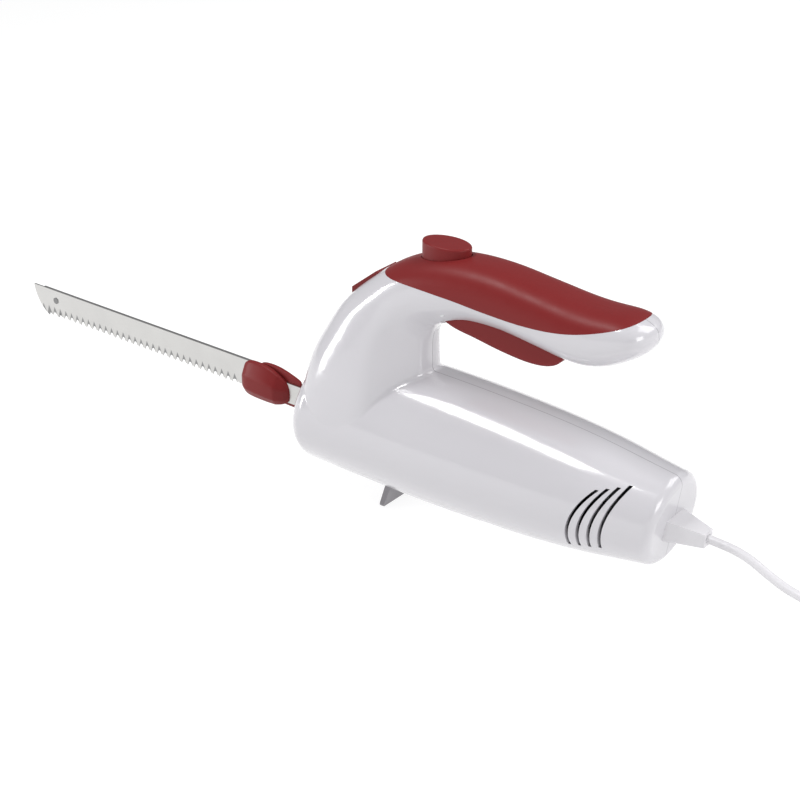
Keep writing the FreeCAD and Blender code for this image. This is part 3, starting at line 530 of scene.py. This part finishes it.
dress(collar("left_collar_guard", LEFT), "red_satin", "left_blade_set", "left_blade_collar")
dress(collar("right_collar_guard", RIGHT), "red_satin", "right_blade_set", "right_blade_collar")


# ---------------------------------------------------------------- springs

# Name, CAD piece, fixed end, moving end, radius, turns, joint, share of its length left at the joint's limit.
# Ends and radius are in mm of the knife's own axes.
SPRINGS = [
    ("lock_button_coil", "lock_button_spring", (149.4, 0, 100.5), (149.4, 0, 111.5), 3.8, 5,
     "lock_button_press", 0.72),
    ("trigger_coil", "trigger_spring", (182.0, 0, 97.4), (182.0, 0, 90.8), 3.4, 3,
     "trigger_press", 0.74),
    ("release_button_coil", "release_spring", (115.05, 4.8, 81.26), (110.03, 4.8, 86.13), 2.8, 3,
     "release_button_press", 0.62),
]
WIRE_RADIUS, WIRE_SIDES = 0.4, 10
STEPS_PER_TURN = 24


def coil_spring(name, fixed, moving, radius, turns):
    """Round wire along a helix from the fixed end to the moving end."""
    start, length = Vector(fixed), Vector(moving) - Vector(fixed)
    along = length.normalized()
    side = along.orthogonal().normalized()
    other = along.cross(side)
    steps = turns * STEPS_PER_TURN
    rings = []
    for k in range(steps + 1):
        turn = 2 * math.pi * turns * k / steps
        outward = side * math.cos(turn) + other * math.sin(turn)
        centre = start + length * (k / steps) + outward * radius
        ring = []
        for m in range(WIRE_SIDES):
            angle = 2 * math.pi * m / WIRE_SIDES
            ring.append(at(*(centre + (outward * math.cos(angle) + along * math.sin(angle)) * WIRE_RADIUS)))
        rings.append(ring)
    return lofted(name, rings)


for name, node, fixed, moving, radius, turns, joint, kept in SPRINGS:
    spring = dress(coil_spring(name, fixed, moving, radius, turns), "zinc_steel", "housing", node)
    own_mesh(spring)


# ---------------------------------------------------------------- floor and lights

FLOOR_HALF = 6.0                                # metres
FLOOR_GLOW = 0.87                               # the floor shines by itself, so that shadows stay faint
LIT_POINT = (0.10, 0.0, 0.08)

floor_mesh = bmesh.new()
bmesh.ops.create_grid(floor_mesh, x_segments=1, y_segments=1, size=FLOOR_HALF)
floor = solid("floor", floor_mesh, smooth=False)
floor_white, _, shader = new_material("floor_white")
shader.inputs["Base Color"].default_value = (0.25, 0.25, 0.25, 1)
shader.inputs["Roughness"].default_value = 0.9
shader.inputs["Specular IOR Level"].default_value = 0.0
shader.inputs["Emission Color"].default_value = (1, 1, 1, 1)
shader.inputs["Emission Strength"].default_value = FLOOR_GLOW
floor.data.materials.append(floor_white)


def softbox(name, direction, distance, wide, high, power, along=(0, 0, 1)):
    """A rectangular light that faces LIT_POINT from the given direction, its width square to along."""
    data = bpy.data.lights.new(name, "AREA")
    data.shape = "RECTANGLE"
    data.size, data.size_y = wide, high
    data.energy = power
    lamp = bpy.data.objects.new(name, data)
    scene.collection.objects.link(lamp)
    away = Vector(direction).normalized()
    across = Vector(along).cross(away).normalized()
    turn = Matrix((across, away.cross(across), away)).transposed().to_4x4()
    lamp.matrix_world = Matrix.Translation(Vector(LIT_POINT) + away * distance) @ turn


softbox("over_strip", (-0.26, -0.27, 0.92), distance=1.5, wide=0.26, high=0.85, power=14,
        along=(0.65, -0.57, 0))
softbox("front_strip", (-0.82, -0.56, 0.14), distance=1.5, wide=0.22, high=0.55, power=7)
softbox("rear_box", (1.0, -0.35, 0.25), distance=1.5, wide=0.7, high=0.7, power=9)
softbox("top_rear_box", (0.50, 0.45, 0.75), distance=1.6, wide=1.1, high=1.0, power=14)

world = bpy.data.worlds.new("studio")
scene.world = world
world.use_nodes = True
sky = world.node_tree.nodes["Background"]
sky.inputs["Color"].default_value = (0.97, 0.97, 1.0, 1)
sky.inputs["Strength"].default_value = 0.30
scene.view_settings.view_transform = "Standard"
